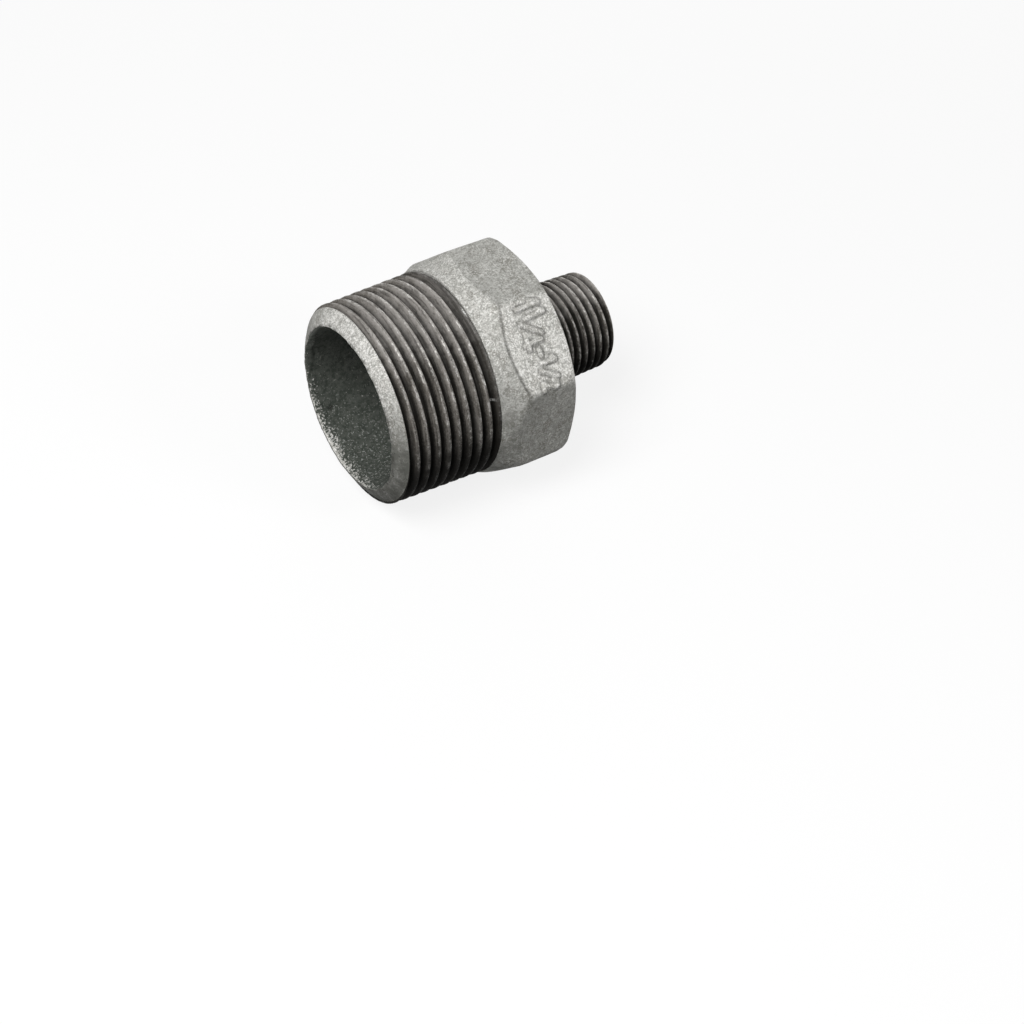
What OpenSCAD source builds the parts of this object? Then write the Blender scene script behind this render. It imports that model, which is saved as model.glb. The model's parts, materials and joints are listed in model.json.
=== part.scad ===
// Reducing nipple in galvanised malleable iron: a large and a small
// right-hand taper pipe thread, one at each side of an eight-sided spanner body.
// The pipe axis lies along X, from the large end at X = 0 to the small end,
// and the fitting rests on one flat of its body, with +Z up.

/* [Large thread] */
// Major diameter of the large thread at its gauge plane
large_gauge_d = 41.91; // [40:0.01:43.6]
// Distance of that gauge plane from the large end
large_gauge_at = 12.7; // [10:0.1:16]
// Pitch of the large thread, eleven to the inch
large_pitch = 2.309; // [1.8:0.001:2.6]
// Length from the large end to the collar
large_len = 22.3; // [18:0.1:30]

/* [Small thread] */
// Major diameter of the small thread at its gauge plane
small_gauge_d = 20.955; // [19.5:0.005:24]
// Distance of that gauge plane from the small end
small_gauge_at = 8.2; // [6:0.1:12]
// Pitch of the small thread, fourteen to the inch
small_pitch = 1.814; // [1.3:0.001:2]
// Length from the small end to the shoulder of the body
small_len = 18; // [14:0.1:26]

/* [Large rim] */
// Length of the unthreaded cast rim in front of the large thread
rim_len = 2; // [1.4:0.1:4]
// Outer diameter of the narrow flat face at the large end
rim_face_d = 34.2; // [33.8:0.1:37]
// Outer diameter of the rim where the thread begins
rim_d = 40.4; // [39.6:0.1:40.8]
// How far the sloping rim bulges out of a straight cone
rim_bulge = 0.1; // [0.05:0.05:0.4]

/* [Body] */
// Number of spanner flats
flats = 8; // [6:2:8]
// Width across the flats
across_flats = 45; // [44.6:0.1:47]
// Diameter over the worn corners
across_corners = 48.4; // [48:0.1:48.6]
// Length of the body from the collar's face to the shoulder
body_len = 17.2; // [14:0.1:24]
// Length of the round collar behind the large thread
collar_len = 3.7; // [3:0.1:5]
// Length of the collar's sloping front, which ends level with the flats
collar_front = 2.8; // [1:0.1:2.9]
// Step from the last crest of the large thread up to the collar
collar_step = 0.1; // [0.05:0.05:0.4]
// Length over which the corners rise out of the collar
corner_rise = 1.5; // [0.8:0.1:3]
// Length of the rounding of the corners at the shoulder
shoulder_len = 3.4; // [2:0.1:4.5]
// Diameter of the flat shoulder face
shoulder_d = 43; // [38:0.1:43.4]

/* [Passage] */
// Diameter of the bore at the large end
large_bore_d = 32.4; // [28:0.1:33]
// Depth of that bore
large_bore_depth = 24; // [18:0.1:27]
// Diameter of the bore at the small end
small_bore_d = 14.4; // [11:0.1:15.8]
// Length of the tapered step between the two bores
step_len = 10; // [7:0.1:12]

/* [Small end] */
// Length of the chamfer at the small end
lead_len = 0.8; // [0.4:0.05:1.4]
// Depth of that chamfer, measured on the radius
lead_depth = 0.5; // [0.2:0.05:0.9]

/* [Hidden] */
zinc = [0.62, 0.63, 0.61];
// Taper pipe threads grow by 1 mm of radius in 32 mm of length
taper = 1 / 32;
// A 55 degree thread is this share of its pitch deep
depth_ratio = 0.640327;
// A crest and a root are each flat over a sixth of the pitch
flat_half = 1 / 12;
// Places of one tooth's four edges, as shares of the pitch from its root
tooth_edges = [-flat_half, flat_half, 0.5 - flat_half, 0.5 + flat_half];
edges = len(tooth_edges);
large_sides = 45;
small_sides = 36;
// Where a crest crosses the horizontal plane through the axis, as a share of the pitch
large_phase = 0.18;
small_phase = 0.42;
// Overshoot of every cutting shape
cut = 1;
body_end = large_len + body_len;
total_len = body_end + small_len;
outside_r = across_corners / 2 + cut;
collar_end = large_len + collar_len;
// The collar stays this far inside the planes of the flats, so that it never touches them
collar_gap = 0.03;
collar_r = across_flats / 2 - collar_gap;
collar_front_r = large_gauge_d / 2 + (large_len - large_gauge_at) * taper + collar_step;
collar_bulge = 0.12;
// Drop of the corners' rounding at a third of its length from the shoulder
corner_fillet = 0.6;
// The fill behind the rim stops this much short of the first groove
fill_gap = 0.05;
// The cut of the small end's chamfer is this many times as long as the chamfer
lead_reach = 3;
step_points = 16;
cone_points = 6;

// Outline of a slightly bulging cone between two points, each a radius and a place
function bulging_cone(from, to, bulge) =
    let (run = to - from, out = [run[1], -run[0]] / norm(run))
        [
            for (k = [0 : cone_points]) let (t = k / cone_points)
                from + run * t + out * bulge * sin(180 * t)
        ];

rim_curve = bulging_cone([rim_face_d / 2, 0], [rim_d / 2, rim_len], rim_bulge);
collar_curve = bulging_cone(
    [collar_front_r, large_len], [collar_r, large_len + collar_front], collar_bulge
);

// Places along the axis of the first root before z_low and of the last one past z_high
function first_root(pitch, phase, z_low) =
    pitch * (floor((z_low - 2 * pitch) / pitch) + phase + 0.5);
function root_count(pitch, phase, z_low, z_high) =
    ceil((z_high - first_root(pitch, phase, z_low)) / pitch) + 1;

// One right-hand taper thread as a closed solid, cut square past z_low and z_high.
// The radius over the crests is gauge_r at gauge_z and changes by slope along the axis.
module taper_thread(gauge_r, gauge_z, slope, pitch, phase, z_low, z_high, sides) {
    depth = depth_ratio * pitch;
    start = first_root(pitch, phase, z_low);
    rows = edges * root_count(pitch, phase, z_low, z_high) + 1;
    bottom = start - pitch;
    top = start + pitch * (rows / edges + 1.5);
    column = rows + 2;
    function row_z(i, j) = start
        + pitch * (floor(j / edges) + tooth_edges[j % edges] + i / sides);
    function row_r(z, j) = gauge_r + slope * (z - gauge_z) - (j % edges < 2 ? depth : 0);
    function at(i, r, z) = [r * cos(360 * i / sides), r * sin(360 * i / sides), z];
    points = [
        for (i = [0 : sides - 1]) each concat(
            [at(i, row_r(bottom, 0), bottom)],
            [for (j = [0 : rows - 1]) at(i, row_r(row_z(i, j), j), row_z(i, j))],
            [at(i, row_r(top, 0), top)]
        )
    ];
    function p(i, j) = i * column + j;
    last = sides - 1;
    wall = [
        for (i = [0 : last - 1], j = [0 : rows]) each [
            [p(i, j), p(i, j + 1), p(i + 1, j + 1)],
            [p(i, j), p(i + 1, j + 1), p(i + 1, j)]
        ]
    ];
    // One turn on, each row meets the row one tooth higher
    seam = [
        for (j = [1 : rows - edges - 1]) each [
            [p(last, j), p(last, j + 1), p(0, j + edges + 1)],
            [p(last, j), p(0, j + edges + 1), p(0, j + edges)]
        ]
    ];
    seam_low = concat(
        [[p(last, 0), p(last, 1), p(0, 0)]],
        [for (j = [0 : edges]) [p(last, 1), p(0, j + 1), p(0, j)]]
    );
    seam_high = concat(
        [[p(last, rows + 1), p(0, rows + 1), p(0, rows)]],
        [for (j = [rows - edges : rows]) [p(0, rows), p(last, j), p(last, j + 1)]]
    );
    floor_cap = [[for (i = [0 : last]) p(i, 0)]];
    roof_cap = [[for (i = [last : -1 : 0]) p(i, rows + 1)]];
    polyhedron(points, concat(wall, seam, seam_low, seam_high, floor_cap, roof_cap));
}

// Spanner body: flats cut on a turned outline with a collar, raised corners and a shoulder
module body() {
    intersection() {
        rotate([0, 0, 180 / flats])
            translate([0, 0, large_len - cut])
                cylinder(d = across_flats / cos(180 / flats), h = body_len + 2 * cut, $fn = flats);
        rotate_extrude($fn = 96)
            polygon(concat([[0, large_len]], collar_curve, [
                [collar_r, collar_end],
                [across_corners / 2, collar_end + corner_rise],
                [across_corners / 2, body_end - shoulder_len],
                [across_corners / 2 - corner_fillet, body_end - shoulder_len / 3],
                [shoulder_d / 2, body_end],
                [0, body_end]
            ]));
    }
}

// What is taken off round the rim, and off everything in front of the large end
module rim_cut() {
    rotate_extrude($fn = 96)
        polygon(concat(
            [[0, -large_len], [outside_r, -large_len], [outside_r, rim_len + cut]],
            [[rim_d / 2 + cut, rim_len + cut]],
            [for (k = [cone_points : -1 : 0]) rim_curve[k]],
            [[0, 0]]
        ));
}

// What is taken off past the small end, with its chamfer
module lead_cut() {
    end_r = small_gauge_d / 2 - small_gauge_at * taper - lead_depth;
    back_z = total_len - lead_len * lead_reach;
    rotate_extrude($fn = 72)
        polygon([
            [0, total_len],
            [end_r, total_len],
            [end_r + lead_depth * lead_reach, back_z],
            [outside_r, back_z],
            [outside_r, total_len + small_len],
            [0, total_len + small_len]
        ]);
}

// The waterway: two bores joined by a rounded, tapered step
module passage() {
    drop = (large_bore_d - small_bore_d) / 2;
    rotate_extrude($fn = 96)
        polygon(concat(
            [[0, -cut], [large_bore_d / 2, -cut]],
            [for (k = [0 : step_points]) let (t = k / step_points)
                [
                    large_bore_d / 2 - drop * (1 - cos(180 * t)) / 2,
                    large_bore_depth + step_len * t
                ]
            ],
            [[small_bore_d / 2, total_len + cut], [0, total_len + cut]]
        ));
}

module reducing_nipple() {
    color(zinc)
        rotate([90, 0, 90])
            difference() {
                union() {
                    body();
                    taper_thread(
                        large_gauge_d / 2, large_gauge_at, taper, large_pitch, large_phase,
                        rim_len, large_len, large_sides
                    );
                    taper_thread(
                        small_gauge_d / 2, total_len - small_gauge_at, -taper, small_pitch,
                        small_phase, body_end, total_len, small_sides
                    );
                    translate([0, 0, -cut])
                        cylinder(d = rim_d + cut, h = rim_len + cut - fill_gap, $fn = 96);
                }
                rim_cut();
                lead_cut();
                passage();
            }
}

reducing_nipple();
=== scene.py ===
"""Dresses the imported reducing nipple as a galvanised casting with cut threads.

The pipe axis is X, from the large end's face at X = 0 to the small end, and the
fitting lies on one flat of its eight-sided body, with Z up. Turns are counted
round X from +Y towards +Z. Sizes in the classes are millimetres and degrees;
the meshes are made in metres.
"""

import json
import logging
import math
from dataclasses import dataclass, field
from enum import Enum
from typing import Any, ClassVar, Optional, Sequence, Union

import bpy
import numpy as np
from mathutils import Matrix, Vector, noise


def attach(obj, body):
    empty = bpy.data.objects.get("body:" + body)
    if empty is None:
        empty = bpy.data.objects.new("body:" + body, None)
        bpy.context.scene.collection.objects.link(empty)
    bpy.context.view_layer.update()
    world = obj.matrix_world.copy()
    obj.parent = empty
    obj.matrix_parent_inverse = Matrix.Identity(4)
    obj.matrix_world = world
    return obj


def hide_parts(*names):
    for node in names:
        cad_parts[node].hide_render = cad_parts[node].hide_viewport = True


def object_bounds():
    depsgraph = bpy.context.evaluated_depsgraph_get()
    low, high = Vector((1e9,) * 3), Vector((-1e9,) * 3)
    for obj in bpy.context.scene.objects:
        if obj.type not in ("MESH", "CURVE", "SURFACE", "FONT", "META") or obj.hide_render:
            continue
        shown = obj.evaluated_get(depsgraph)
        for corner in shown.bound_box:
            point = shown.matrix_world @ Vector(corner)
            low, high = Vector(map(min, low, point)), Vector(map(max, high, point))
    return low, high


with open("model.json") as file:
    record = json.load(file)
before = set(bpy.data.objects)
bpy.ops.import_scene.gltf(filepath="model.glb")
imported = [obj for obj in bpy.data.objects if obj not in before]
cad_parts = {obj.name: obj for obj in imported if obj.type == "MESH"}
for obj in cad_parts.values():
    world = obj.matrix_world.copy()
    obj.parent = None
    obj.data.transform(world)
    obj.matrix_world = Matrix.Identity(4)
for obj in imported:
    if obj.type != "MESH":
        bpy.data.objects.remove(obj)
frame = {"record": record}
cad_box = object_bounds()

MM = 0.001
NODE = "reducing_nipple"
BODY = "root"
FLATS = 8
TURN = 360.0 / FLATS
# Edges that bend by more than this many degrees stay sharp
CREASE = 42.0
# Taper pipe threads grow by 1 mm of radius in 32 mm of length
TAPER = 1 / 32
LARGE_PITCH = 2.309
SMALL_PITCH = 1.814
# Where a crest crosses the horizontal plane on the +Y side, as shares of a pitch
LARGE_PHASE = 0.18
SMALL_PHASE = 0.42
LOG = logging.getLogger(NODE)

Operand = Union["Number", float]
Array = np.ndarray
Colour = tuple[float, float, float]
# Where a smooth step begins and ends
Span = tuple[float, float]


class Skin(Enum):
    """Kinds of surface on the casting, with how deep their lumps are in millimetres."""

    FACE = 0.05
    RIM = 0.16
    SPANNER = 0.07
    MOUTH = 0.42
    BORE = 0.22
    HIDDEN = 0.0


class Number:
    """A number on a socket. Python's operators on it add Math nodes."""

    def __init__(self, graph: "Graph", socket: bpy.types.NodeSocket) -> None:
        """Keeps the socket and the graph that it belongs to."""
        self.graph = graph
        self.socket = socket

    def __add__(self, other: Operand) -> "Number":
        """Adds a number."""
        return self.graph.math("ADD", self, other)

    def __radd__(self, other: float) -> "Number":
        """Adds this to a plain number."""
        return self.graph.math("ADD", other, self)

    def __sub__(self, other: Operand) -> "Number":
        """Takes a number away."""
        return self.graph.math("SUBTRACT", self, other)

    def __rsub__(self, other: float) -> "Number":
        """Takes this away from a plain number."""
        return self.graph.math("SUBTRACT", other, self)

    def __mul__(self, other: Operand) -> "Number":
        """Multiplies by a number."""
        return self.graph.math("MULTIPLY", self, other)

    def __rmul__(self, other: float) -> "Number":
        """Multiplies a plain number by this."""
        return self.graph.math("MULTIPLY", other, self)

    def __truediv__(self, other: Operand) -> "Number":
        """Divides by a number."""
        return self.graph.math("DIVIDE", self, other)

    def __rtruediv__(self, other: float) -> "Number":
        """Divides a plain number by this."""
        return self.graph.math("DIVIDE", other, self)

    def __pow__(self, other: Operand) -> "Number":
        """Raises to a power."""
        return self.graph.math("POWER", self, other)

    def least(self, other: Operand) -> "Number":
        """The smaller of this and another number."""
        return self.graph.math("MINIMUM", self, other)

    def most(self, other: Operand) -> "Number":
        """The larger of this and another number."""
        return self.graph.math("MAXIMUM", self, other)

    def held(self, low: Operand = 0.0, high: Operand = 1.0) -> "Number":
        """This number, kept between two limits."""
        return self.most(low).least(high)

    def over(self, limit: Operand) -> "Number":
        """1 where this is more than the limit, or else 0."""
        return self.graph.math("GREATER_THAN", self, limit)

    def step(self, start: float, end: float) -> "Number":
        """A smooth step from 0 at start to 1 at end."""
        share = ((self - start) / (end - start)).held()
        return share * share * (3.0 - 2.0 * share)


class Graph:
    """Builds the nodes of one tree, for a finish or for Geometry Nodes."""

    def __init__(self, tree: bpy.types.NodeTree) -> None:
        """Keeps the tree that nodes are added to."""
        self.tree = tree

    def feed(self, socket: bpy.types.NodeSocket, value: Any) -> None:
        """Links a socket, or sets its plain value.

        Args:
            socket: the socket that is fed.
            value: a Number, another socket or a plain value.
        """
        if isinstance(value, Number):
            value = value.socket
        if isinstance(value, bpy.types.NodeSocket):
            self.tree.links.new(value, socket)
        else:
            socket.default_value = value

    def node(
        self,
        kind: str,
        settings: Optional[dict[str, Any]] = None,
        inputs: Optional[dict[Union[str, int], Any]] = None,
    ) -> bpy.types.Node:
        """Adds a node.

        Args:
            kind: the node's type.
            settings: its properties, which are set first.
            inputs: values or links of its sockets, by name or by number.

        Returns:
            The new node.
        """
        made = self.tree.nodes.new(kind)
        for name, value in (settings or {}).items():
            setattr(made, name, value)
        for key, value in (inputs or {}).items():
            self.feed(made.inputs[key], value)
        return made

    def number(
        self,
        kind: str,
        settings: Optional[dict[str, Any]] = None,
        inputs: Optional[dict[Union[str, int], Any]] = None,
        output: Union[str, int] = 0,
    ) -> Number:
        """Adds a node and gives one of its outputs as a Number."""
        return Number(self, self.node(kind, settings, inputs).outputs[output])

    def math(self, operation: str, *values: Operand) -> Number:
        """Adds a Math node on these values."""
        return self.number(
            "ShaderNodeMath", {"operation": operation}, dict(enumerate(values))
        )

    def axes(self, vector: Any) -> tuple[Number, Number, Number]:
        """Splits a vector into its three numbers."""
        made = self.node("ShaderNodeSeparateXYZ", inputs={"Vector": vector})
        x, y, z = (Number(self, output) for output in made.outputs)
        return x, y, z

    def vector(self, x: Operand, y: Operand, z: Operand) -> bpy.types.NodeSocket:
        """Joins three numbers to a vector."""
        return self.node("ShaderNodeCombineXYZ", inputs={0: x, 1: y, 2: z}).outputs[0]

    def blend(self, share: Operand, one: Any, other: Any) -> bpy.types.NodeSocket:
        """Mixes two colours, from all of one at 0 to all of the other at 1."""
        ends = [(*c, 1.0) if isinstance(c, tuple) else c for c in (one, other)]
        return self.node(
            "ShaderNodeMix", {"data_type": "RGBA"}, {0: share, 6: ends[0], 7: ends[1]}
        ).outputs[2]

    def clouds(self, place: Any, size: float, detail: float = 2.0, rough: float = 0.55) -> Number:
        """A noise from 0 to 1 whose lumps are about size millimetres across."""
        return self.number(
            "ShaderNodeTexNoise",
            None,
            {"Vector": place, "Scale": 1.0 / (size * MM), "Detail": detail, "Roughness": rough},
        )


def bell(away: Array, reach: float) -> Array:
    """A share that falls from 1 at no distance to a third at the reach."""
    return np.exp(-((away / reach) ** 2))


@dataclass(frozen=True)
class Facts:
    """Main sizes of the fitting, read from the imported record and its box."""

    length: float
    flat_r: float
    large_gauge_r: float
    large_gauge_x: float
    large_bore_r: float
    large_bore_len: float
    small_gauge_r: float
    small_gauge_x: float
    small_bore_r: float
    small_bore_len: float

    @classmethod
    def read(cls) -> "Facts":
        """Reads the sizes.

        Returns:
            The sizes in millimetres.
        """
        mounts = {mount["name"]: mount for mount in frame["record"]["mounts"]}
        sizes = {name: mount["dims"] for name, mount in mounts.items()}
        return cls(
            length=cad_box[1].x / MM,
            flat_r=cad_box[1].z / MM,
            large_gauge_r=sizes["large_thread"]["r_mm"],
            large_gauge_x=mounts["large_thread"]["pos_m"][0] / MM,
            large_bore_r=sizes["large_bore"]["r_mm"],
            large_bore_len=sizes["large_bore"]["length_mm"],
            small_gauge_r=sizes["small_thread"]["r_mm"],
            small_gauge_x=mounts["small_thread"]["pos_m"][0] / MM,
            small_bore_r=sizes["small_bore"]["r_mm"],
            small_bore_len=sizes["small_bore"]["length_mm"],
        )


@dataclass(frozen=True)
class CastZinc:
    """Sand-cast zinc coat: matt grey, fine speckle with painted sparkle, darker in the bore."""

    light: Colour = (0.69, 0.68, 0.643)
    dull: Colour = (0.47, 0.465, 0.435)
    fleck_and_sparkle: Colour = (0.92, 0.91, 0.88)
    pore: Colour = (0.17, 0.168, 0.155)
    stain_and_shade: Colour = (0.17, 0.172, 0.155)
    blotch_and_shade: Colour = (0.30, 0.285, 0.25)
    inside: Colour = (0.095, 0.102, 0.090)
    deep: Colour = (0.050, 0.058, 0.049)
    lit: Colour = (0.26, 0.272, 0.25)
    speck: Colour = (0.37, 0.38, 0.36)
    soot_and_shade: Colour = (0.035, 0.035, 0.03)
    grain: float = 0.32
    bump: float = 0.12

    def build(self) -> bpy.types.Material:
        """Makes the finish.

        Returns:
            A material that reads the casting's attributes for the bore's finish, for dirt
            with painted shade and for stain with painted shade.
        """
        material = bpy.data.materials.new("cast_zinc")
        material.use_nodes = True
        graph = Graph(material.node_tree)
        shader = material.node_tree.nodes["Principled BSDF"]
        place = graph.node("ShaderNodeTexCoord").outputs["Object"]
        inside, dirt, dull = (
            graph.number("ShaderNodeAttribute", {"attribute_name": name}, output="Fac")
            for name in ("inside", "dirt", "dull")
        )
        drift, mottle = graph.clouds(place, 5.0, 3.0), graph.clouds(place, 1.3, 3.0, 0.65)
        sand = graph.clouds(place, self.grain, 2.5, 0.7) * 0.68
        sand = sand + graph.clouds(place, self.grain * 2.4, 2.0, 0.6) * 0.32
        fine = graph.clouds(place, self.grain * 0.5, 1.0)
        inside = (inside + (graph.clouds(place, 0.5, 2.0, 0.7) - 0.5) * 3.0).step(0.4, 0.62)
        tone = (drift * 0.5 + mottle * 0.8 - 0.15).step(0.34, 0.66)
        colour = graph.blend(tone, self.dull, self.light)
        # Blotches and stain grow with the casting's share of stain and painted shade
        blots_and_shade = graph.clouds(place, 2.8, 4.0, 0.62).step(0.47, 0.65) * (0.3 + dull)
        colour = graph.blend(blots_and_shade, colour, self.blotch_and_shade)
        # Pale flecks: bright zinc grains with painted sparkle
        colour = graph.blend(sand.step(0.5, 0.59) * 0.85, colour, self.fleck_and_sparkle)
        colour = graph.blend((1.0 - sand).step(0.5, 0.61) * 0.5, colour, self.pore)
        stain_and_shade = (dull * (mottle * 1.4 + drift * 1.6 - 0.5)).held()
        colour = graph.blend(stain_and_shade, colour, self.stain_and_shade)
        x, _, z = graph.axes(place)
        dark = graph.blend(mottle.step(0.42, 0.7) * 0.6, self.inside, self.deep)
        # Painted light: the bore grows lighter towards its top and deeper in
        roof = (z / (16.0 * MM) + x / (30.0 * MM)).step(-0.2, 1.3)
        dark = graph.blend(roof * 0.95, dark, self.lit)
        patch = (1.0 - graph.clouds(place, 0.9, 3.0, 0.7)).step(0.46, 0.6) * (1.0 - roof)
        dark = graph.blend(patch * 0.85, dark, self.deep)
        under = z / (-16.0 * MM) + (drift - 0.5) - x / (30.0 * MM)
        drops = graph.clouds(place, 0.42, 1.0).step(0.6, 0.69)
        under = under.step(0.15, 1.1) * 0.95 + 0.03
        dark = graph.blend(drops * under, dark, self.speck)
        colour = graph.blend(inside, colour, dark)
        # Dirt and painted shade darken towards the soot colour
        colour = graph.blend(dirt * 0.6, colour, self.soot_and_shade)
        graph.feed(shader.inputs["Base Color"], colour)
        graph.feed(shader.inputs["Roughness"], 0.58 - 0.22 * sand)
        shader.inputs["Metallic"].default_value = 0.06
        shader.inputs["IOR"].default_value = 1.06
        relief = sand * 0.7 + fine * 0.3
        bump = graph.node(
            "ShaderNodeBump", None, {"Distance": self.bump * MM, "Height": relief}
        )
        graph.feed(shader.inputs["Normal"], bump.outputs["Normal"])
        return material


@dataclass(frozen=True)
class CutIron:
    """Cut thread: dark flanks and roots, darker below, with brighter worn crests.

    Oil and painted shade darken the lower side, dirt and painted shade the roots, and
    grime and painted shade the run-out, where the thread fades into the body. Dust with
    painted light lies on top, a painted highlight runs along the crests, and a sharper
    thread keeps its light to a narrower line.
    """

    name: str
    radius: float
    run_out: Span
    flank: Colour
    sharp: float
    root: Colour = (0.016, 0.015, 0.013)
    crest: Colour = (0.25, 0.237, 0.218)
    dust_and_light: Colour = (0.38, 0.36, 0.338)
    bare: Colour = (0.85, 0.85, 0.82)
    oil_and_shade: Colour = (0.012, 0.012, 0.011)
    rough: float = 0.46

    def build(self) -> bpy.types.Material:
        """Makes the finish.

        Returns:
            A material that reads the thread's "bare" attribute and its "height", which
            is 0 at a root and 1 at a crest.
        """
        material = bpy.data.materials.new(self.name)
        material.use_nodes = True
        graph = Graph(material.node_tree)
        shader = material.node_tree.nodes["Principled BSDF"]
        place = graph.node("ShaderNodeTexCoord").outputs["Object"]
        height, bare = (
            graph.number("ShaderNodeAttribute", {"attribute_name": name}, output="Fac")
            for name in ("height", "bare")
        )
        rise = height**self.sharp
        x, y, z = graph.axes(place)
        along = graph.vector(x * 3.5, y, z)
        smear = graph.clouds(place, 2.2, 3.0)
        specks = graph.clouds(place, 0.35, 2.0, 0.65)
        tear = graph.clouds(along, 0.7, 3.0, 0.7)
        streak = graph.clouds(graph.vector(x * 6.0, y * 0.25, z * 0.25), 2.2, 2.0, 0.6)
        wear = (height + (smear - 0.5) * 0.45 + (specks - 0.5) * 0.55).step(0.82, 1.05)
        bare = bare * specks.step(0.3, 0.62)
        # Dirt and painted shade: darker down the flanks into the roots
        colour = graph.blend(rise.step(0.1, 0.8), self.root, self.flank)
        up = z / (self.radius * MM) + (smear - 0.5) * 0.4
        colour = graph.blend(wear, colour, self.crest)
        ridge = (height + (smear - 0.5) * 0.3 + (specks - 0.5) * 0.5).step(0.92, 1.03)
        glint = ridge * (tear * 0.7 + smear * 0.3).step(0.46, 0.62)
        # Dust and painted light: lighter towards the top
        colour = graph.blend(up.step(0.72, 1.0) * (0.3 + rise * 0.6), colour, self.dust_and_light)
        colour = graph.blend(tear.step(0.5, 0.72) * rise * 0.5, colour, self.crest)
        colour = graph.blend(specks.step(0.54, 0.68) * rise * 0.4, colour, self.dust_and_light)
        colour = graph.blend((1.0 - tear).step(0.5, 0.7) * 0.5, colour, self.root)
        colour = graph.blend((1.0 - streak).step(0.5, 0.63) * 0.45, colour, self.root)
        colour = graph.blend(streak.step(0.5, 0.63) * (0.05 + rise * 0.27), colour, self.dust_and_light)
        # Oil and painted shade: darker towards the bottom
        oil_and_shade = (0.6 - up).step(0.0, 0.85) * 0.94
        colour = graph.blend(oil_and_shade, colour, self.oil_and_shade)
        # Grime and painted shade where the thread runs into the body
        grime_and_shade = (x / MM).step(*self.run_out) * 0.65
        colour = graph.blend(grime_and_shade, colour, self.root)
        glint = glint * (1.0 - 0.85 * oil_and_shade) * (1.0 - grime_and_shade)
        # Painted highlight with bare metal: the glint lightens the ridges and makes them metallic
        colour = graph.blend(glint * 0.32, colour, self.bare)
        colour = graph.blend(bare, colour, self.bare)
        graph.feed(shader.inputs["Base Color"], colour)
        graph.feed(shader.inputs["Roughness"], self.rough + 0.2 * specks)
        graph.feed(shader.inputs["Metallic"], glint.most(bare) * 0.8)
        shader.inputs["IOR"].default_value = 1.055
        bump = graph.node(
            "ShaderNodeBump", None, {"Distance": 0.09 * MM, "Height": tear}
        )
        graph.feed(shader.inputs["Normal"], bump.outputs["Normal"])
        return material


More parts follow.
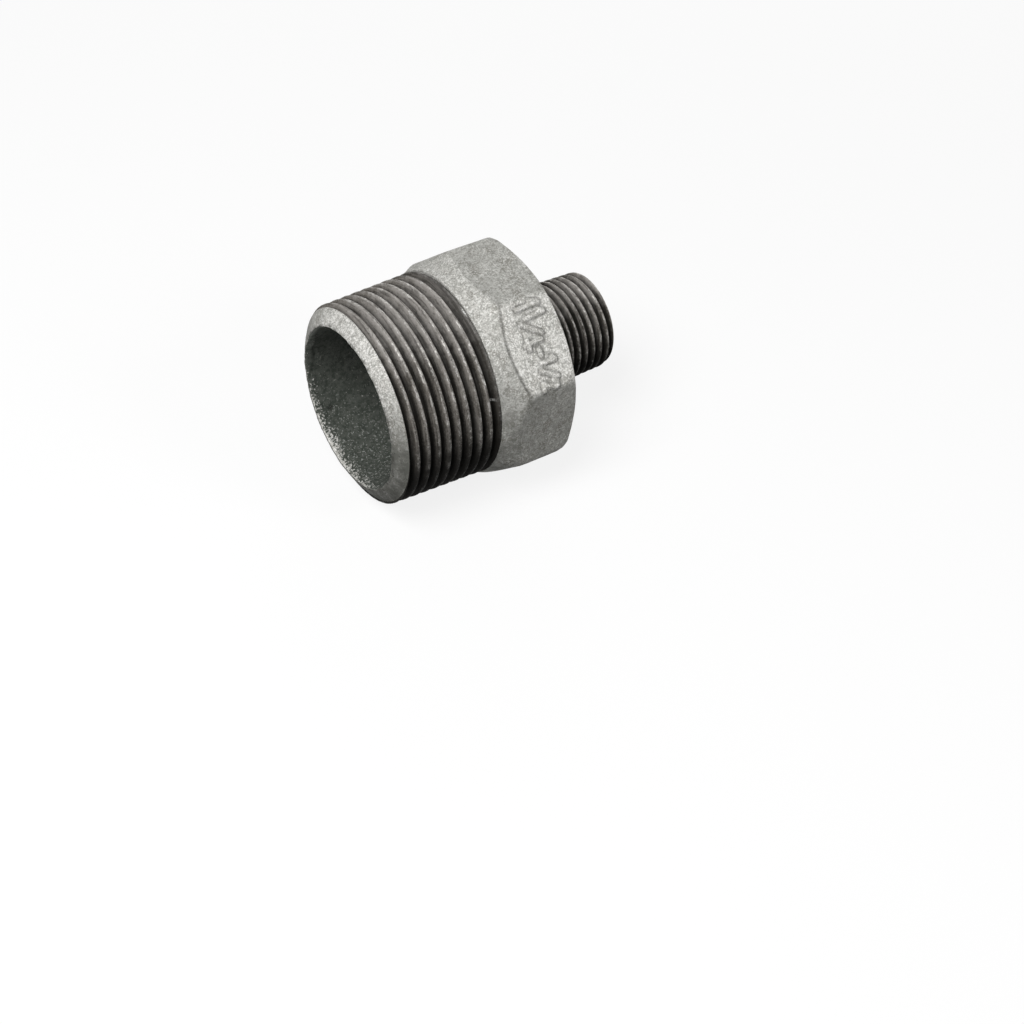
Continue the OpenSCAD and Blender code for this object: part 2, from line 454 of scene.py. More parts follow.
class ThreadTree:
    """Geometry Nodes tree that makes a ring with a right-hand taper pipe thread outside.

    A grid is rolled round X. Its first and last rows lie on the ring's inner wall
    and the rows between them follow the helix, so every crest is one clean line.
    The rounding, flank and depth of the standard 55 degree thread are shares of the
    pitch, and so is how much blunter its crests are made.
    """

    SIZES = (
        "Pitch", "Low", "High", "Gauge Radius", "Gauge Place", "Slope",
        "Crest Place", "Inner Radius", "Wear", "Fade",
    )
    COUNTS = ("Sides", "Rows per Pitch", "Rows")
    ROUND_R = 0.137329
    ROUND_REACH = 0.121812
    FLANK = 1.920982
    DEPTH = 0.640327
    BLUNT = 0.03
    # Share of the depth that is left where the thread runs out
    FADE_LEFT = 0.5
    # Size, detail and roughness of the wear, and its smooth steps
    WORN = (1.1, 3.0, 0.6)
    WORN_SPAN = (0.48, 0.8)
    TOP_SPAN = (0.6, 1.0)
    WELD = 5e-7

    def __init__(self) -> None:
        """Builds the tree."""
        self.tree = bpy.data.node_groups.new("taper_thread", "GeometryNodeTree")
        self.graph = Graph(self.tree)
        face = self.tree.interface
        for name in self.SIZES:
            face.new_socket(name, in_out="INPUT", socket_type="NodeSocketFloat")
        for name in self.COUNTS:
            face.new_socket(name, in_out="INPUT", socket_type="NodeSocketInt")
        face.new_socket("Finish", in_out="INPUT", socket_type="NodeSocketMaterial")
        face.new_socket("Geometry", in_out="OUTPUT", socket_type="NodeSocketGeometry")
        self.given = self.graph.node("NodeGroupInput")
        self._build()

    def _in(self, name: str) -> Number:
        """One of the tree's inputs."""
        return Number(self.graph, self.given.outputs[name])

    def _round(self, reach: Number) -> Number:
        """Drop of a rounded crest at a distance from its top, both as shares of the pitch."""
        return self.ROUND_R - self.graph.math("SQRT", self.ROUND_R**2 - reach * reach)

    def _drop(self, away: Number) -> Number:
        """Depth of the thread's outline below its crest.

        Args:
            away: distance from the top of the crest, from 0 to 0.5 of the pitch.

        Returns:
            The depth as a share of the pitch.
        """
        away = ((away - self.BLUNT) / (1.0 - 2.0 * self.BLUNT)).most(0.0)
        edge = self.ROUND_REACH
        edge_drop = self.ROUND_R - math.sqrt(self.ROUND_R**2 - edge**2)
        crest = self._round(away.least(edge))
        flank = self.FLANK * (away - edge).held(0.0, 0.5 - 2 * edge)
        root = edge_drop - self._round((0.5 - away).least(edge))
        return crest + flank + root

    def _build(self) -> None:
        """Adds the nodes, from the grid to the finished ring."""
        graph = self.graph
        pitch, low, high = self._in("Pitch"), self._in("Low"), self._in("High")
        sides, rows = self._in("Sides"), self._in("Rows")
        grid = graph.node(
            "GeometryNodeMeshGrid",
            None,
            {"Size X": 1.0, "Size Y": 1.0, "Vertices X": sides + 1.0, "Vertices Y": rows + 4.0},
        )
        across, along, _ = graph.axes(graph.node("GeometryNodeInputPosition").outputs[0])
        share = across + 0.5
        turn = share * math.tau
        row = graph.math("ROUND", (along + 0.5) * (rows + 3.0))
        free = low - pitch + pitch * ((row - 1.0) / self._in("Rows per Pitch") + share)
        far = row.over(rows + 1.5)
        back = row.over(rows + 2.5)
        x = (free + far * (high - low + pitch)).held(low, high)
        x = x - back * (x - low)
        hidden = (1.0 - row.over(0.5)) + far
        phase = (x - self._in("Crest Place")) / pitch - share
        away = 0.5 - graph.math("ABSOLUTE", graph.math("FRACT", phase) - 0.5)
        deep = self._drop(away)
        fade = ((high - x) / self._in("Fade")).held()
        fade = fade * (1.0 - self.FADE_LEFT) + self.FADE_LEFT
        cone = self._in("Gauge Radius") + self._in("Slope") * (x - self._in("Gauge Place"))
        worn = graph.clouds(self._rolled(x, cone, turn), *self.WORN).step(*self.WORN_SPAN)
        worn = worn * self._in("Wear")
        top = (1.0 - deep / self.DEPTH).step(*self.TOP_SPAN)
        outer = cone - deep * pitch * fade - worn * top
        radius = outer + hidden * (self._in("Inner Radius") - outer)
        kept = graph.node(
            "GeometryNodeStoreNamedAttribute",
            {"data_type": "FLOAT", "domain": "POINT"},
            {
                "Geometry": grid.outputs["Mesh"],
                "Name": "height",
                "Value": (1.0 - deep * fade / self.DEPTH).held(),
            },
        )
        made = kept.outputs[0]
        for kind, inputs in (
            ("GeometryNodeSetPosition", {"Position": self._rolled(x, radius, turn)}),
            ("GeometryNodeMergeByDistance", {"Distance": self.WELD}),
            ("GeometryNodeRealizeInstances", {}),
            ("GeometryNodeSetMaterial", {"Material": self.given.outputs["Finish"]}),
        ):
            made = graph.node(kind, inputs={"Geometry": made, **inputs}).outputs[0]
        graph.node("NodeGroupOutput", inputs={"Geometry": made})

    def _rolled(self, x: Number, radius: Number, turn: Number) -> bpy.types.NodeSocket:
        """The point at a place along X, a radius and a turn in radians."""
        y, z = (radius * self.graph.math(name, turn) for name in ("COSINE", "SINE"))
        return self.graph.vector(x, y, z)


def settle(piece: bpy.types.Object) -> bpy.types.Object:
    """Gives a piece outward faces, smooth shading and creases, and ties it to the part.

    Args:
        piece: a mesh object at the origin.

    Returns:
        The same object.
    """
    mesh = piece.data
    if signed_volume(mesh) < 0:
        mesh.flip_normals()
    mesh.shade_smooth()
    mesh.set_sharp_from_angle(angle=math.radians(CREASE))
    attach(piece, BODY)
    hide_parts(NODE)
    LOG.info("%s: %d vertices, %d faces", piece.name, len(mesh.vertices), len(mesh.polygons))
    return piece


def signed_volume(mesh: bpy.types.Mesh) -> float:
    """Measures the volume inside a closed mesh.

    Args:
        mesh: the closed mesh.

    Returns:
        The volume, which is negative where the faces point inwards.
    """
    mesh.calc_loop_triangles()
    points = np.zeros(len(mesh.vertices) * 3)
    mesh.vertices.foreach_get("co", points)
    corners = np.zeros(len(mesh.loop_triangles) * 3, np.int32)
    mesh.loop_triangles.foreach_get("vertices", corners)
    a, b, c = points.reshape(-1, 3)[corners.reshape(-1, 3)].transpose(1, 0, 2)
    return float(np.einsum("ij,ij->i", a, np.cross(b, c)).sum() / 6.0)


@dataclass(frozen=True)
class Nick:
    """A knock that dents the surface, or raises it where its depth is negative."""

    SLOPE: ClassVar[float] = 1.5

    x: float
    turn: float
    x_reach: float
    round_reach: float
    depth: float

    def share(self, x: Array, turn: Array, r: Array) -> Array:
        """Gives each point its share of the knock.

        Args:
            x: places along the axis in millimetres.
            turn: turns in radians.
            r: radii in millimetres.

        Returns:
            Shares, from 0 outside the knock to 1 at its middle.
        """
        off = (turn - math.radians(self.turn) + math.pi) % math.tau - math.pi
        away = np.hypot((x - self.x) / self.x_reach, off * r / self.round_reach)
        return np.clip(self.SLOPE - self.SLOPE * away, 0.0, 1.0)


@dataclass
class Thread:
    """One taper pipe thread as a ring round the casting's core."""

    # Nicks move only the points that lie this far outside the inner wall
    SHELL: ClassVar[float] = 1.0

    name: str
    finish: CutIron
    pitch: float
    low: float
    high: float
    gauge_r: float
    gauge_x: float
    slope: float
    crest_x: float
    inner_r: float
    sides: int
    rows_per_pitch: int
    wear: float
    fade: float
    nicks: tuple[Nick, ...] = ()

    def build(self, tree: ThreadTree) -> bpy.types.Object:
        """Grows the ring with Geometry Nodes and makes it a plain mesh.

        Args:
            tree: the tree that makes the thread.

        Returns:
            The finished piece.
        """
        piece = bpy.data.objects.new(self.name, bpy.data.meshes.new(self.name))
        bpy.context.scene.collection.objects.link(piece)
        modifier = piece.modifiers.new("thread", "NODES")
        modifier.node_group = tree.tree
        rows = math.ceil(((self.high - self.low) / self.pitch + 2.0) * self.rows_per_pitch)
        values: dict[str, Any] = {
            "Pitch": self.pitch * MM,
            "Low": self.low * MM,
            "High": self.high * MM,
            "Gauge Radius": self.gauge_r * MM,
            "Gauge Place": self.gauge_x * MM,
            "Slope": self.slope,
            "Crest Place": self.crest_x * MM,
            "Inner Radius": self.inner_r * MM,
            "Wear": self.wear * MM,
            "Fade": self.fade * MM,
            "Sides": self.sides,
            "Rows per Pitch": self.rows_per_pitch,
            "Rows": rows,
            "Finish": self.finish.build(),
        }
        for item in tree.tree.interface.items_tree:
            if item.item_type == "SOCKET" and item.in_out == "INPUT":
                modifier[item.identifier] = values[item.name]
        graph = bpy.context.evaluated_depsgraph_get()
        mesh = bpy.data.meshes.new_from_object(
            piece.evaluated_get(graph), preserve_all_data_layers=True, depsgraph=graph
        )
        piece.modifiers.remove(modifier)
        piece.data = mesh
        mesh.name = self.name
        self.knock(mesh)
        return settle(piece)

    def knock(self, mesh: bpy.types.Mesh) -> None:
        """Presses the nicks into the thread and marks their bare metal.

        Args:
            mesh: the thread's mesh, which is changed.
        """
        flat = np.zeros(len(mesh.vertices) * 3)
        mesh.vertices.foreach_get("co", flat)
        points = flat.reshape(-1, 3) / MM
        r, turn = np.hypot(points[:, 1], points[:, 2]), np.arctan2(points[:, 2], points[:, 1])
        bare = np.zeros(len(points))
        for nick in self.nicks:
            share = nick.share(points[:, 0], turn, r) * (r > self.inner_r + self.SHELL)
            points[:, 1:] *= (1.0 - share * nick.depth / r)[:, None]
            bare = np.maximum(bare, share)
        mesh.vertices.foreach_set("co", points.ravel() * MM)
        mesh.attributes.new("bare", "FLOAT", "POINT").data.foreach_set("value", bare)


@dataclass(frozen=True)
class Ring:
    """One ring of points round the casting."""

    x: float
    r: float
    skin: Skin
    eight_sided: bool
    inside: float


@dataclass
class Outline:
    """Collects the rings of the casting's closed outline, stretch by stretch."""

    rings: list[Ring] = field(default_factory=list)

    def add(
        self,
        points: Sequence[tuple[float, float]],
        step: float,
        skin: Skin,
        eight_sided: bool = False,
        inside: float = 0.0,
    ) -> None:
        """Adds a stretch of the outline.

        Args:
            points: (place, radius) corners of the stretch, from the first to the last.
            step: largest spacing of the rings.
            skin: kind of surface.
            eight_sided: whether the spanner flats cut the stretch.
            inside: share of the bore's dark finish.
        """
        for (x0, r0), (x1, r1) in zip(points, points[1:]):
            count = max(1, math.ceil(math.hypot(x1 - x0, r1 - r0) / step))
            for k in range(count):
                t = k / count
                self.rings.append(
                    Ring(x0 + (x1 - x0) * t, r0 + (r1 - r0) * t, skin, eight_sided, inside)
                )


@dataclass
class SizeMark:
    """Raised size figures cast on one flat, read with the small end up.

    Strokes are (sideways, along) points in millimetres on the flat, sideways from
    its middle and along from the large end's face.
    """

    flat_turn: float = 135.0
    width: float = 0.42
    soft: float = 0.28
    height: float = 0.42
    foot: float = 0.24
    strokes: tuple[tuple[tuple[float, float], ...], ...] = (
        ((-8.3, 33.8), (-7.5, 35.6), (-7.4, 30.6)),
        ((-6.1, 35.2), (-5.6, 36.1), (-5.2, 31.8)),
        ((-4.5, 30.4), (-1.7, 34.2)),
        ((-0.35, 30.0), (-0.55, 33.7), (-2.4, 30.7), (0.6, 30.6)),
        ((1.1, 32.5), (2.4, 32.6)),
        ((3.3, 34.6), (3.9, 35.2), (3.9, 32.2)),
        ((5.3, 31.5), (7.2, 34.6)),
        ((7.8, 33.3), (8.2, 34.0), (8.9, 33.9), (9.0, 33.1), (7.8, 30.9), (9.1, 30.8)),
    )

    def relief(self, side: Array, along: Array) -> tuple[Array, Array]:
        """Height of the figures over the flat, and the dirt and painted shade at their feet.

        Args:
            side: sideways places of the points.
            along: places of the points along the axis.

        Returns:
            Heights in millimetres, and shares of dirt and painted shade from 0 to 1.
        """
        nearest = np.full(side.shape, np.inf)
        for stroke in self.strokes:
            for (u0, v0), (u1, v1) in zip(stroke, stroke[1:]):
                run = np.array([u1 - u0, v1 - v0])
                t = ((side - u0) * run[0] + (along - v0) * run[1]) / float(run @ run)
                t = np.clip(t, 0.0, 1.0)
                away = np.hypot(side - u0 - t * run[0], along - v0 - t * run[1])
                nearest = np.minimum(nearest, away)
        share = np.clip((self.width + self.soft - nearest) / (2 * self.soft), 0.0, 1.0)
        foot = bell(nearest - self.width - self.soft, self.foot)
        return self.height * share * share * (3.0 - 2.0 * share), foot


@dataclass
class Casting:
    """The casting under the threads: rim, collar, eight-sided body, cores and bore.

    A scale multiplies places before a noise is read there, so a larger one makes
    smaller lumps. One value per point says how far stain and painted shade dim the
    zinc, from 0 to 1.
    """

    facts: Facts
    mark: SizeMark
    # Outline
    rim_len: float = 2.0
    rim_face_r: float = 17.1
    rim_r: float = 20.1
    rim_bulge: float = 0.1
    rim_parts: int = 8
    large_len: float = 22.3
    collar_len: float = 5.4
    collar_step: float = 0.1
    collar_lift: float = 0.7
    collar_points: int = 13
    corner_r: float = 24.2
    shoulder_x: float = 39.5
    shoulder_len: float = 3.4
    shoulder_drop: float = 0.6
    shoulder_r: float = 21.5
    shoulder_foot_r: float = 11.0
    large_core_r: float = 18.6
    small_core_r: float = 8.7
    lead: float = 0.3
    step_points: int = 17
    mouth: float = 0.7
    mouth_points: int = 8
    fine_sides: int = 100
    near_sides: int = 40
    far_sides: int = 24
    # Soft corners of the body, from the collar to the shoulder
    corner_x: Span = (26.0, 29.0)
    corner_soft: Span = (0.8, 0.28)
    # Arc-shaped crease between the collar and the flat with the figures; its dark line
    # is dirt with painted shade
    marked_facing: float = 0.9
    crease_x: float = 26.4
    crease_sweep: float = 1.3
    crease_deep: float = 0.22
    crease_wobble: float = 0.35
    crease_waves: float = 2.0
    crease_edge: float = 0.3
    crease_rise: float = 3.0
    crease_line: float = 0.26
    crease_cut: float = 0.8
    crease_facing: Span = (0.88, 0.94)
    crease_elsewhere: float = 0.12
    # Ragged lip of the bore
    lip_r: float = 16.95
    lip_x: float = 0.6
    lip_reach: float = 0.45
    lip_dirt_and_shade: float = 1.6
    edge_rough: float = 0.035
    edge_reach: float = 0.35
    edge_x: float = 1.0
    edge_scale: float = 1.4
    hole_scale: float = 2.6
    hole_steep: float = 4.0
    hole_start: float = 1.7
    pit: Nick = Nick(3.5, 316.5, 0.9, 0.7, 0.45)
    # Zinc that shows in the mouth, most of all below
    mouth_turn: float = 0.25
    mouth_scale: float = 1.7
    mouth_lumps: float = 0.8
    mouth_front: float = 0.6
    mouth_front_reach: float = 0.4
    mouth_zinc: float = 0.78
    mouth_dark: float = 0.3
    mouth_dull: float = 0.1
    # Dirt and painted shade
    foot_dirt_and_shade: float = 0.8
    rim_over: float = 0.2
    shade_from: float = 0.4
    shade_x: Span = (0.1, 1.2)
    shade_share: Span = (0.4, 0.75)
    under_share: float = 0.5
    under_steep: float = 3.0
    under_start: float = 2.0
    # Painted shade on the rim over the sine of its turn, lighter on top; else stain and
    # painted shade from flat to flat, beginning with the flat that has the figures
    rim_sines: tuple[float, ...] = (0.1, 0.8, 1.0)
    rim_shade_levels: tuple[float, ...] = (1.0, 0.12, -0.35)
    rim_shade_strength: float = 0.85
    collar_stain_and_shade: tuple[float, ...] = (0.26, 0.70, 0.7, 0.5, 0.45, 0.4, 0.35, 0.2)
    collar_blur: float = 0.5
    flat_stain_and_shade: tuple[float, ...] = (0.02, 0.57, 0.6, 0.45, 0.4, 0.4, 0.38, 0.47)
    flat_blur: float = 0.03

    def outline(self) -> list[Ring]:
        """Lays out the rings, out along the outside and back through the bore.

        Returns:
            The rings in order; the last one meets the first.
        """
        f, made = self.facts, Outline()
        bore, nose, end = f.large_bore_r, f.small_bore_r, f.length
        step_x, step_end = f.large_bore_len, end - f.small_bore_len
        front_r = f.large_gauge_r + (self.large_len - f.large_gauge_x) * TAPER + self.collar_step
        collar_end, rise = self.large_len + self.collar_len, self.corner_r - front_r
        lift, drop = self.collar_lift, bore - nose
        rim = [(0.0, bore + self.mouth), (0.0, self.rim_face_r)]
        large_core = [
            (self.rim_len, self.rim_r),
            (self.rim_len, self.large_core_r),
            (self.large_len, self.large_core_r),
        ]
        collar = [
            (self.large_len + self.collar_len * t, front_r + rise * t * (lift + t * (1 - lift)))
            for t in np.linspace(0.0, 1.0, self.collar_points)
        ]
        body = [
            (collar_end, self.corner_r),
            (self.shoulder_x - self.shoulder_len, self.corner_r),
            (self.shoulder_x - self.shoulder_len / 3, self.corner_r - self.shoulder_drop),
            (self.shoulder_x, self.shoulder_r),
        ]
        shoulder = [(self.shoulder_x, self.shoulder_r), (self.shoulder_x, self.shoulder_foot_r)]
        small_core = [
            (self.shoulder_x, self.shoulder_foot_r),
            (self.shoulder_x, self.small_core_r),
            (end, self.small_core_r),
        ]
        small_end = [(end, self.small_core_r), (end, nose + self.lead), (end - self.lead, nose)]
        step = [
            (
                step_end + (step_x - step_end) * t,
                bore - drop * (1.0 + math.cos(math.pi * t)) / 2,
            )
            for t in np.linspace(0.0, 1.0, self.step_points)
        ]
        lip = [
            (self.mouth * (2 - 2 * math.sin(a)), bore + self.mouth * (1 - math.cos(a)))
            for a in np.linspace(0.0, math.pi / 2, self.mouth_points)
        ]
        mouth_in = [(self.mouth * 3, bore), (self.mouth * 2, bore)]
        made.add(rim, step=0.2, skin=Skin.RIM)
        made.add(self.rim_cone(), step=0.25, skin=Skin.RIM)
        made.add(large_core, step=8.0, skin=Skin.HIDDEN)
        made.add([large_core[-1], (self.large_len, front_r)], step=1.0, skin=Skin.FACE)
        made.add(collar, step=0.12, skin=Skin.SPANNER, eight_sided=True)
        made.add(body, step=0.15, skin=Skin.SPANNER, eight_sided=True)
        made.add(shoulder, step=0.7, skin=Skin.SPANNER)
        made.add(small_core, step=9.0, skin=Skin.HIDDEN)
        made.add(small_end, step=0.3, skin=Skin.FACE, inside=0.9)
        made.add([(end - self.lead, nose), (step_end, nose)], 1.0, Skin.BORE, inside=1.0)
        made.add(step, step=2.0, skin=Skin.BORE, inside=1.0)
        made.add([(step_x, bore), mouth_in[0]], step=0.4, skin=Skin.BORE, inside=1.0)
        made.add(mouth_in, step=0.2, skin=Skin.MOUTH, inside=1.0)
        made.add(lip, step=0.2, skin=Skin.MOUTH, inside=0.8)
        return made.rings

    def rim_cone(self) -> list[tuple[float, float]]:
        """Lays out the slightly bulging cone of the rim.

        Returns:
            Its (place, radius) points, from the end face to the thread.
        """
        rise = self.rim_r - self.rim_face_r
        length = math.hypot(self.rim_len, rise)
        out_x, out_r = -rise / length, self.rim_len / length
        points = []
        for t in np.linspace(0.0, 1.0, self.rim_parts + 1):
            swell = self.rim_bulge * math.sin(math.pi * t)
            points.append(
                (self.rim_len * t + out_x * swell, self.rim_face_r + rise * t + out_r * swell)
            )
        return points

    def turns(self) -> Array:
        """Places the columns round the axis, closest on the flat with the figures.

        Returns:
            Turns in radians.
        """
        counts = {0: self.fine_sides, 1: self.near_sides}
        parts = []
        for k in range(FLATS):
            start = self.mark.flat_turn + TURN * k - TURN / 2
            count = counts.get(min(k, FLATS - k), self.far_sides)
            parts.append(start + TURN * np.arange(count) / count)
        return np.radians(np.concatenate(parts))

    def build(self, finish: CastZinc) -> bpy.types.Object:
        """Makes the casting's mesh.

        Args:
            finish: its zinc coat.

        Returns:
            The finished piece.
        """
        rings, turns = self.outline(), self.turns()
        x, r, inside, depth = (
            np.array(values)[:, None] + np.zeros_like(turns)
            for values in zip(*((k.x, k.r, k.inside, k.skin.value) for k in rings))
        )
        cut = np.array([ring.eight_sided for ring in rings])[:, None]
        mouth = np.array([ring.skin is Skin.MOUTH for ring in rings])[:, None]
        arc, line, sunk = self.crease(x, turns)
        r = np.where(cut, self.body_r(x, r, turns) - sunk, r)
        points = np.stack([x, r * np.cos(turns), r * np.sin(turns)], axis=-1)
        edge = self.edge_rough * bell(r - self.lip_r, self.edge_reach) * (x < self.edge_x)
        edge = edge * (self.lumps(points * self.edge_scale) - 0.5)
        points[..., 1:] *= (1.0 + edge)[..., None]
        normals = self.normals(points)
        points = points - normals * (depth * self.lumps(points))[..., None]
        facing = turns - math.radians(self.mark.flat_turn)
        marked = cut & (np.cos(facing) > self.marked_facing)
        relief, foot = self.mark.relief(self.facts.flat_r * np.tan(facing) + 0.0 * r, x)
        points = points + normals * np.where(marked, relief, 0.0)[..., None]
        inside = inside - np.where(mouth, self.mouth_gap(x, turns, points), 0.0)
        pit = self.pit.share(x, turns, r) * (inside > 0.5)
        # Dirt with painted shade: the crease's line, the figures' feet, the rim and the pit
        dirt = np.where(cut, line, 0.0) + np.where(marked, self.foot_dirt_and_shade * foot, 0.0)
        dirt = dirt + np.where(mouth, 0.0, self.rim_dirt_and_shade(x, turns, points, inside)) + pit
        # Painted shade round the rim; stain and painted shade on the collar and flats
        dull = np.where(x < self.large_len, self.rim_painted_shade(turns), self.body_stain_and_shade(turns, arc, cut))
        points = points + normals * (-self.pit.depth * pit)[..., None]
        shares = {
            "inside": inside,
            "dirt": np.clip(dirt, 0.0, 1.0),
            "dull": np.where(mouth, self.mouth_dull, dull),
        }
        return self.weave(points, shares, finish)

    def body_r(self, x: Array, r: Array, turns: Array) -> Array:
        """Cuts the flats on the turned outline, with soft corners.

        Args:
            x: places along the axis.
            r: radii of the turned outline.
            turns: turns in radians.

        Returns:
            The radii of the eight-sided body.
        """
        flat = self.facts.flat_r / np.cos(np.radians(self.off(turns)))
        blend = np.interp(x, self.corner_x, self.corner_soft)
        mix = np.clip(0.5 + 0.5 * (flat - r) / blend, 0.0, 1.0)
        return flat * (1 - mix) + r * mix - blend * mix * (1 - mix)

    def crease(self, x: Array, turns: Array) -> tuple[Array, Array, Array]:
        """Draws the arc-shaped crease where the collar meets the flat with the figures, and
        its dark line of dirt and painted shade.

        Args:
            x: places along the axis.
            turns: turns in radians.

        Returns:
            How far the points lie in front of the arc, their share of its line, and
            how deep they are sunk.
        """
        waves = self.crease_waves
        wobble = np.array(
            [noise.noise(Vector((waves * math.cos(a), waves * math.sin(a), 0.0))) for a in turns]
        )
        sweep = self.crease_sweep * (self.off(turns) / (TURN / 2)) ** 2
        arc = self.crease_x + self.crease_wobble * wobble + sweep - x
        back = np.clip(0.5 + arc / self.crease_edge, 0.0, 1.0)
        back = back * np.clip((x - self.large_len) / self.crease_rise, 0.0, 1.0)
        facing = np.cos(turns - math.radians(self.mark.flat_turn))
        here = np.interp(facing, self.crease_facing, (self.crease_elsewhere, 1.0))
        line = bell(arc, self.crease_line) * here
        return arc, line, self.crease_deep * (back * here + self.crease_cut * line)

    def mouth_gap(self, x: Array, turns: Array, points: Array) -> Array:
        """Takes the bore's dark finish away in its mouth.

        Args:
            x: places along the axis.
            turns: turns in radians.
            points: the points.

        Returns:
            What is taken off the share of the dark finish.
        """
        lower = np.clip(-np.sin(turns - self.mouth_turn), 0.0, 1.0) ** 2
        front = self.mouth_front * bell(x, self.mouth_front_reach)
        bright = lower * (self.mouth_lumps * self.lumps(points * self.mouth_scale) + front)
        return self.mouth_zinc * bright - self.mouth_dark * (1.0 - lower)

    def rim_dirt_and_shade(self, x: Array, turns: Array, points: Array, inside: Array) -> Array:
        """Paints shade under the rim and dirt with painted shade in the holes along its lip.

        Args:
            x: places along the axis.
            turns: turns in radians.
            points: the points.
            inside: shares of the bore's dark finish.

        Returns:
            Shares of dirt and painted shade.
        """
        sines = np.sin(turns)
        shade = np.clip(self.shade_from - sines, 0.0, 1.0)
        shade = shade * np.interp(x, self.shade_x, self.shade_share)
        under = np.clip(-self.under_steep * sines - self.under_start, 0.0, 1.0)
        shade = shade + self.under_share * under
        on_rim = (x < self.rim_len + self.rim_over) & (inside < 0.5)
        lip = bell(np.hypot(points[..., 1], points[..., 2]) - self.lip_r, self.lip_reach)
        holes = self.lumps(points * self.hole_scale) * self.hole_steep - self.hole_start
        lip = self.lip_dirt_and_shade * lip * np.clip(holes, 0.0, 1.0)
        return np.where(on_rim, shade, 0.0) + np.where(x < self.lip_x, lip, 0.0)

    def rim_painted_shade(self, turns: Array) -> Array:
        """Painted shade round the rim: lighter on top, darker on the sides and below."""
        return np.interp(np.sin(turns), self.rim_sines, self.rim_shade_levels) * self.rim_shade_strength

    def body_stain_and_shade(self, turns: Array, arc: Array, cut: Array) -> Array:
        """Stain and painted shade on the flats, which lie past the arc, and on the collar."""
        flats = self.tone(turns, self.flat_stain_and_shade, self.flat_blur)
        return np.where(
            cut & (arc < 0.0), flats, self.tone(turns, self.collar_stain_and_shade, self.collar_blur)
        )

    def tone(self, turns: Array, tones: tuple[float, ...], blur: float) -> Array:
        """Spreads one tone for each flat round the casting.

        Args:
            turns: turns in radians.
            tones: the tones, from the flat with the figures on.
            blur: half the width of the change at a corner, as a share of a flat.

        Returns:
            The tone at each turn.
        """
        place = (np.degrees(turns) - self.mark.flat_turn) / TURN
        nearest = np.round(place)
        away = place - nearest
        share = np.clip((np.abs(away) - 0.5 + blur) / (2 * blur), 0.0, 0.5)
        here = np.array(tones)[nearest.astype(int) % FLATS]
        there = np.array(tones)[(nearest + np.where(away < 0, -1, 1)).astype(int) % FLATS]
        return here * (1 - share) + there * share

    @staticmethod
    def off(turns: Array) -> Array:
        """Degrees from the middle of the nearest flat."""
        return (np.degrees(turns) + TURN / 2) % TURN - TURN / 2

    @staticmethod
    def normals(points: Array) -> Array:
        """Finds the outward directions of a closed grid.

        Args:
            points: the grid, in rings and columns.

        Returns:
            A vector of length 1 for each point.
        """
        along = np.roll(points, -1, axis=0) - np.roll(points, 1, axis=0)
        round_ = np.roll(points, -1, axis=1) - np.roll(points, 1, axis=1)
        out = np.cross(round_, along)
        return out / np.maximum(np.linalg.norm(out, axis=-1, keepdims=True), 1e-9)

    @staticmethod
    def lumps(points: Array, wide: float = 4.5, close: float = 0.9) -> Array:
        """Makes the uneven skin of a sand casting.

        Args:
            points: places, in rings and columns.
            wide: size of the wide lumps.
            close: size of the close ones.

        Returns:
            Shares, from 0 for proud places to 1 for deep ones.
        """
        flat = points.reshape(-1, 3)
        wide_part = np.array([noise.noise(Vector(p) / wide) for p in flat])
        close_part = np.array([noise.noise(Vector(p) / close) for p in flat])
        mixed = 0.5 + 0.45 * wide_part + 0.3 * close_part
        return np.clip(mixed, 0.0, 1.0).reshape(points.shape[:2])

    @staticmethod
    def weave(points: Array, shares: dict[str, Array], finish: CastZinc) -> bpy.types.Object:
        """Joins a closed grid of points to a mesh.

        Args:
            points: the grid, in rings and columns.
            shares: a number for each point, for each attribute.
            finish: the zinc coat.

        Returns:
            The finished piece.
        """
        rows, columns = points.shape[:2]
        index = np.arange(rows * columns).reshape(rows, columns)
        down, right = np.roll(index, -1, axis=0), np.roll(index, -1, axis=1)
        across = np.roll(down, -1, axis=1)
        quads = np.stack([index, right, across, down], axis=-1).reshape(-1, 4)
        mesh = bpy.data.meshes.new("casting")
        mesh.from_pydata((points.reshape(-1, 3) * MM).tolist(), [], quads.tolist())
        for name, values in shares.items():
            share = mesh.attributes.new(name, "FLOAT", "POINT")
            share.data.foreach_set("value", values.astype(np.float32).ravel())
        mesh.materials.append(finish.build())
        piece = bpy.data.objects.new("casting", mesh)
        bpy.context.scene.collection.objects.link(piece)
        return settle(piece)


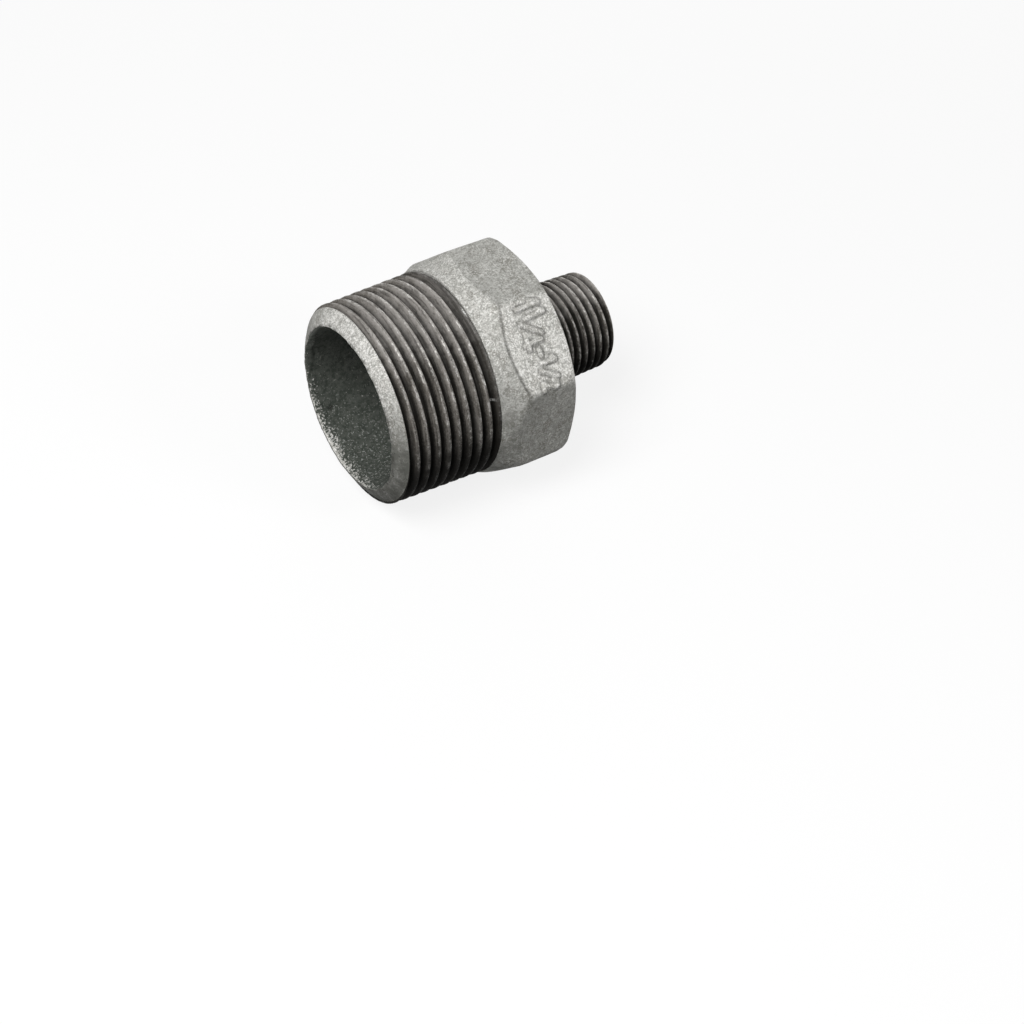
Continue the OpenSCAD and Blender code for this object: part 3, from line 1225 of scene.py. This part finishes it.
@dataclass
class Studio:
    """Pale floor, soft lamps and the camera.

    The floor's glow rises to a full white over its fade, which is in metres.
    """

    eye: Vector = field(default_factory=lambda: Vector((-127.77, -212.15, 235.62)))
    aim: Vector = field(default_factory=lambda: Vector((25.67, -23.33, -21.00)))
    roll: float = 7.408
    lens: float = 61.01
    sensor: float = 36.0
    clip: Span = (0.01, 20.0)
    middle: Vector = field(default_factory=lambda: Vector((28.0, 0.0, 0.0)))
    floor_size: float = 4000.0
    floor_shown: Colour = (1.0, 1.0, 1.0)
    floor_bounce: Colour = (0.25, 0.25, 0.25)
    floor_glow: float = 0.84
    floor_fade: Span = (0.12, 0.7)
    world_light: float = 0.05

    def camera(self) -> None:
        """Places the camera at the eye, turned to the aim and rolled."""
        data = bpy.data.cameras.new("camera")
        data.lens, data.sensor_width = self.lens, self.sensor
        data.clip_start, data.clip_end = self.clip
        camera = bpy.data.objects.new("camera", data)
        bpy.context.scene.collection.objects.link(camera)
        ahead = (self.aim - self.eye).normalized()
        right = ahead.cross(Vector((0, 0, 1))).normalized()
        up = right.cross(ahead)
        a = math.radians(self.roll)
        right, up = right * math.cos(a) + up * math.sin(a), up * math.cos(a) - right * math.sin(a)
        turn = Matrix((right, up, -ahead)).transposed().to_4x4()
        camera.matrix_world = Matrix.Translation(self.eye * MM) @ turn
        bpy.context.scene.camera = camera

    def lamp(self, name: str, place: Vector, size: float, power: float) -> None:
        """Hangs a square soft lamp that faces the fitting's middle.

        Args:
            name: its name.
            place: its place in millimetres.
            size: length of its sides in millimetres.
            power: its power in watts.
        """
        data = bpy.data.lights.new(name, "AREA")
        data.shape, data.size, data.energy = "SQUARE", size * MM, power
        lamp = bpy.data.objects.new(name, data)
        bpy.context.scene.collection.objects.link(lamp)
        turn = (self.middle - place).to_track_quat("-Z", "Y").to_matrix().to_4x4()
        lamp.matrix_world = Matrix.Translation(place * MM) @ turn

    @staticmethod
    def seen(graph: Graph) -> Number:
        """Tells what is looked at from what only lights the fitting.

        Args:
            graph: the graph that asks.

        Returns:
            1 for rays from the camera, a gloss or a glass, or else 0.
        """
        path = graph.node("ShaderNodeLightPath")
        rays = [
            Number(graph, path.outputs[name])
            for name in ("Is Camera Ray", "Is Glossy Ray", "Is Transmission Ray")
        ]
        return (rays[0] + rays[1] + rays[2]).least(1.0)

    def world(self) -> None:
        """Makes a world that looks white and lights the fitting gently."""
        world = bpy.data.worlds.new("studio")
        bpy.context.scene.world = world
        world.use_nodes = True
        graph = Graph(world.node_tree)
        back = world.node_tree.nodes["Background"]
        back.inputs["Color"].default_value = (1.0, 1.0, 1.0, 1.0)
        seen = self.seen(graph)
        graph.feed(back.inputs["Strength"], seen + (1.0 - seen) * self.world_light)

    def floor(self) -> None:
        """Makes the floor that the fitting rests on."""
        half, z = self.floor_size / 2 * MM, cad_box[0].z
        mesh = bpy.data.meshes.new("floor")
        corners = [(-half, -half, z), (half, -half, z), (half, half, z), (-half, half, z)]
        mesh.from_pydata(corners, [], [(0, 1, 2, 3)])
        material = bpy.data.materials.new("pale_floor")
        material.use_nodes = True
        tree = material.node_tree
        graph = Graph(tree)
        tree.nodes.remove(tree.nodes["Principled BSDF"])
        seen = self.seen(graph)
        x, y, _ = graph.axes(graph.node("ShaderNodeTexCoord").outputs["Object"])
        far = graph.math("SQRT", x * x + y * y).step(*self.floor_fade)
        glow = seen * (self.floor_glow + (1.0 - self.floor_glow) * far)
        colour = graph.blend(seen, self.floor_bounce, self.floor_shown)
        matt = graph.node("ShaderNodeBsdfDiffuse", None, {"Color": colour})
        white = graph.node("ShaderNodeEmission", None, {"Color": (1, 1, 1, 1), "Strength": 1.0})
        mixed = graph.node(
            "ShaderNodeMixShader",
            None,
            {0: glow, 1: matt.outputs[0], 2: white.outputs[0]},
        )
        graph.feed(tree.nodes["Material Output"].inputs["Surface"], mixed.outputs[0])
        mesh.materials.append(material)
        floor = bpy.data.objects.new("floor", mesh)
        bpy.context.scene.collection.objects.link(floor)

    def build(self) -> None:
        """Sets up the whole studio."""
        bpy.context.scene.view_settings.view_transform = "Standard"
        self.camera()
        self.world()
        self.floor()
        self.lamp("key", Vector((-250.0, -100.0, 420.0)), 260.0, 2.55)
        self.lamp("side", Vector((240.0, -350.0, 290.0)), 140.0, 0.5)
        self.lamp("back", Vector((330.0, 380.0, 90.0)), 260.0, 0.8)


def main() -> None:
    """Builds the fitting and its studio, and reports each piece."""
    logging.basicConfig(level=logging.INFO, format="%(name)s: %(message)s")
    facts = Facts.read()
    Studio().build()
    casting = Casting(facts, SizeMark())
    casting.build(CastZinc())
    tree = ThreadTree()
    Thread(
        name="large_thread",
        finish=CutIron(
            name="cut_iron_large",
            radius=facts.large_gauge_r,
            run_out=(20.2, 21.8),
            flank=(0.150, 0.137, 0.121),
            sharp=1.15,
        ),
        pitch=LARGE_PITCH,
        low=casting.rim_len,
        high=casting.large_len,
        gauge_r=facts.large_gauge_r,
        gauge_x=facts.large_gauge_x,
        slope=TAPER,
        crest_x=LARGE_PHASE * LARGE_PITCH,
        inner_r=18.2,
        sides=360,
        rows_per_pitch=20,
        wear=0.10,
        fade=0.8,
        nicks=(
            Nick(21.9, 105.5, 0.22, 1.5, 0.05),
            Nick(20.6, 88.3, 0.22, 0.35, 0.12),
            Nick(19.9, 144.8, 0.16, 1.1, 0.05),
            Nick(21.2, 156.3, 0.85, 0.22, -0.06),
            Nick(17.9, 142.0, 0.16, 1.3, 0.10),
        ),
    ).build(tree)
    Thread(
        name="small_thread",
        finish=CutIron(
            name="cut_iron_small",
            radius=facts.small_gauge_r,
            run_out=(42.0, 39.8),
            flank=(0.092, 0.084, 0.074),
            sharp=1.7,
        ),
        pitch=SMALL_PITCH,
        low=casting.shoulder_x,
        high=facts.length,
        gauge_r=facts.small_gauge_r,
        gauge_x=facts.small_gauge_x,
        slope=-TAPER,
        crest_x=SMALL_PHASE * SMALL_PITCH,
        inner_r=8.4,
        sides=300,
        rows_per_pitch=20,
        wear=0.06,
        fade=0.1,
    ).build(tree)


if __name__ == "__main__":
    main()
